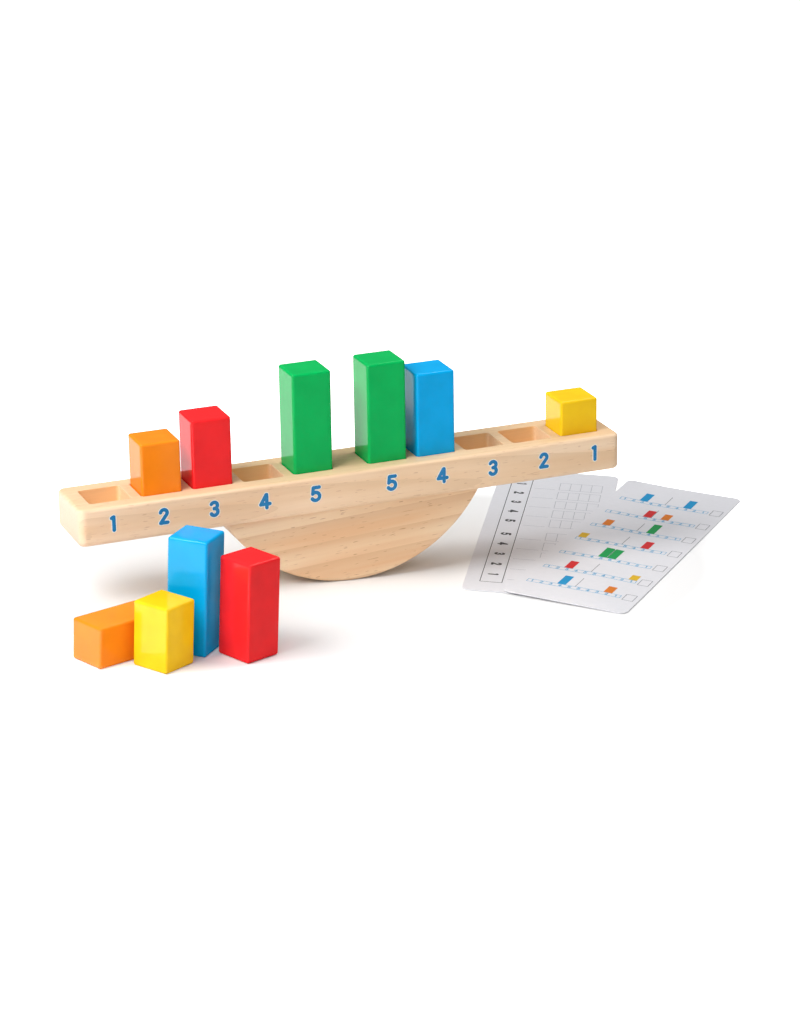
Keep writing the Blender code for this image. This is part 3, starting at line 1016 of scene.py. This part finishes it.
def make_camera():
    """Camera at the photograph's angle: azimuth, elevation and roll about the view's target."""
    azimuth, elevation = math.radians(VIEW_AZIMUTH), math.radians(VIEW_ELEVATION)
    roll = math.radians(VIEW_ROLL)
    level = math.cos(elevation)
    back = np.array((math.sin(azimuth) * level, -math.cos(azimuth) * level, math.sin(elevation)))
    right = np.cross(-back, (0, 0, 1))
    right /= np.linalg.norm(right)
    up = np.cross(back, right)
    rolled_right = math.cos(roll) * right + math.sin(roll) * up
    rolled_up = math.cos(roll) * up - math.sin(roll) * right
    data = bpy.data.cameras.new("photo_view")
    data.sensor_fit = "AUTO"
    data.sensor_width = SENSOR_MM
    data.lens = VIEW_FOCAL_PX / VIEW_HEIGHT_PX * SENSOR_MM
    camera = bpy.data.objects.new("photo_view", data)
    matrix = np.eye(4)
    matrix[:3, :3] = np.column_stack((rolled_right, rolled_up, back))
    matrix[:3, 3] = np.array(VIEW_TARGET) + VIEW_DISTANCE * back
    camera.matrix_world = [list(row) for row in matrix.T]
    bpy.context.scene.collection.objects.link(camera)
    bpy.context.scene.camera = camera


def rule(card, start, end, width, rise=INK_RISE):
    """Printed line or bar on a card, from one point of it to another."""
    steps = max(2, round(math.dist(start, end) / CARD_RULE_STEP))
    return ribbon(line(start, end, steps), width / 2, rise, INK_RISE, card.place, round_ends=False)


def outline(card, left, low, wide, tall, width):
    """Four printed lines round a rectangle."""
    upper = INK_RISE * (1 + STROKE_STEP)
    right, high = left + wide, low + tall
    return [
        rule(card, (left, low), (right, low), width),
        rule(card, (left, high), (right, high), width),
        rule(card, (left, low), (left, high), width, upper),
        rule(card, (right, low), (right, high), width, upper),
    ]


def print_on(card, name, grids, material):
    """A print that rides on its card."""
    piece(card.node + "_" + name, grids, material, card.node)


def print_record_card(card, inks):
    """Column of pocket numbers between two long lines, read from the far end, and cells to fill in beside
    it."""
    middle = (COLUMN_LEFT + COLUMN_RIGHT) / 2
    lines = outline(card, COLUMN_LEFT, -COLUMN_END, COLUMN_RIGHT - COLUMN_LEFT, 2 * COLUMN_END, RULE_WIDTH)
    cells = []
    for number in range(POCKETS_PER_SIDE):
        for side in (-1, 1):
            up = side * (COLUMN_FIRST + COLUMN_PITCH * number)
            digit = POCKETS_PER_SIDE - number
            lines += numeral(digit, (middle, up), COLUMN_NUMERAL, COLUMN_STROKE, INK_RISE, card.place, -90)
            for cell in range(CELLS_PER_NUMBER):
                left = CELL_LEFT + CELL_WIDTH * cell
                cells += outline(card, left, up - CELL_HEIGHT / 2, CELL_WIDTH, CELL_HEIGHT, CELL_RULE_WIDTH)
            foot = up - CELL_HEIGHT / 2
            start, end = (COLUMN_RIGHT + CELL_GAP, foot), (CELL_LEFT - CELL_GAP, foot)
            cells.append(rule(card, start, end, CELL_RULE_WIDTH))
    print_on(card, "numbers", lines, inks["black"])
    print_on(card, "cells", cells, inks["pale"])


def print_combination_card(card, inks):
    """Rows of a numbered ten-cell strip, two coloured bars standing on it, a divider and a box to
    tick."""
    count = 2 * POCKETS_PER_SIDE
    heights = {}
    for colour, node in BAR_MODELS.items():
        block_low, block_high = node_box(node, BEAM_AXES)
        heights[colour] = BAR_SCALE * (block_high - block_low)[2]
    strips, ticks = [], []
    bars = {colour: [] for colour in COLOURS}
    for number, pair in enumerate(COMBINATIONS):
        low = ROW_FIRST - ROW_PITCH * number
        strips += outline(card, STRIP_LEFT, low, count * STRIP_CELL, STRIP_HEIGHT, CELL_RULE_WIDTH)
        for cell in range(count):
            middle = STRIP_LEFT + (cell + 0.5) * STRIP_CELL
            digit = min(cell + 1, count - cell)
            at = (middle, low + STRIP_HEIGHT / 2)
            strips += numeral(digit, at, STRIP_NUMERAL, STRIP_STROKE, INK_RISE, card.place)
        ticks += outline(card, TICK_LEFT, low - TICK_DROP, TICK_WIDTH, TICK_HEIGHT, CELL_RULE_WIDTH)
        half_way = STRIP_LEFT + count / 2 * STRIP_CELL
        foot = low + STRIP_HEIGHT
        ticks.append(rule(card, (half_way, foot), (half_way, foot + DIVIDER_HEIGHT), CELL_RULE_WIDTH))
        for colour, cell in pair:
            middle = STRIP_LEFT + (cell + 0.5) * STRIP_CELL
            top = foot + heights[colour]
            bars[colour].append(rule(card, (middle, foot), (middle, top), BAR_WIDTH, 2 * INK_RISE))
    print_on(card, "strips", strips, inks["sky"])
    print_on(card, "ticks", ticks, inks["grey"])
    for colour, grids in bars.items():
        print_on(card, "bars_" + colour, grids, inks[colour])


def make_cards():
    """Both cards with their prints. The combination card lies partly on the record card."""
    film = laminated_card()
    plain = {"black": INK_BLACK, "grey": INK_GREY, "pale": INK_PALE, "sky": INK_SKY}
    inks = {name: ink("ink_" + name, colour) for name, colour in plain.items()}
    inks.update({colour: ink("ink_" + colour, shade(COLOURS[colour], INK_DEPTH)) for colour in COLOURS})
    record = Card("record_card", RECORD_TURN)
    combination = Card("combination_card", COMBINATION_TURN, record, CARD_CURL)
    for card in (record, combination):
        piece("laminated_" + card.node, [card.grid()], film, card.node, (card.node,))
    print_record_card(record, inks)
    print_combination_card(combination, inks)


bpy.context.scene.view_settings.view_transform = "Standard"
make_camera()
make_light()
make_floor()
make_balance()
make_blocks()
make_cards()
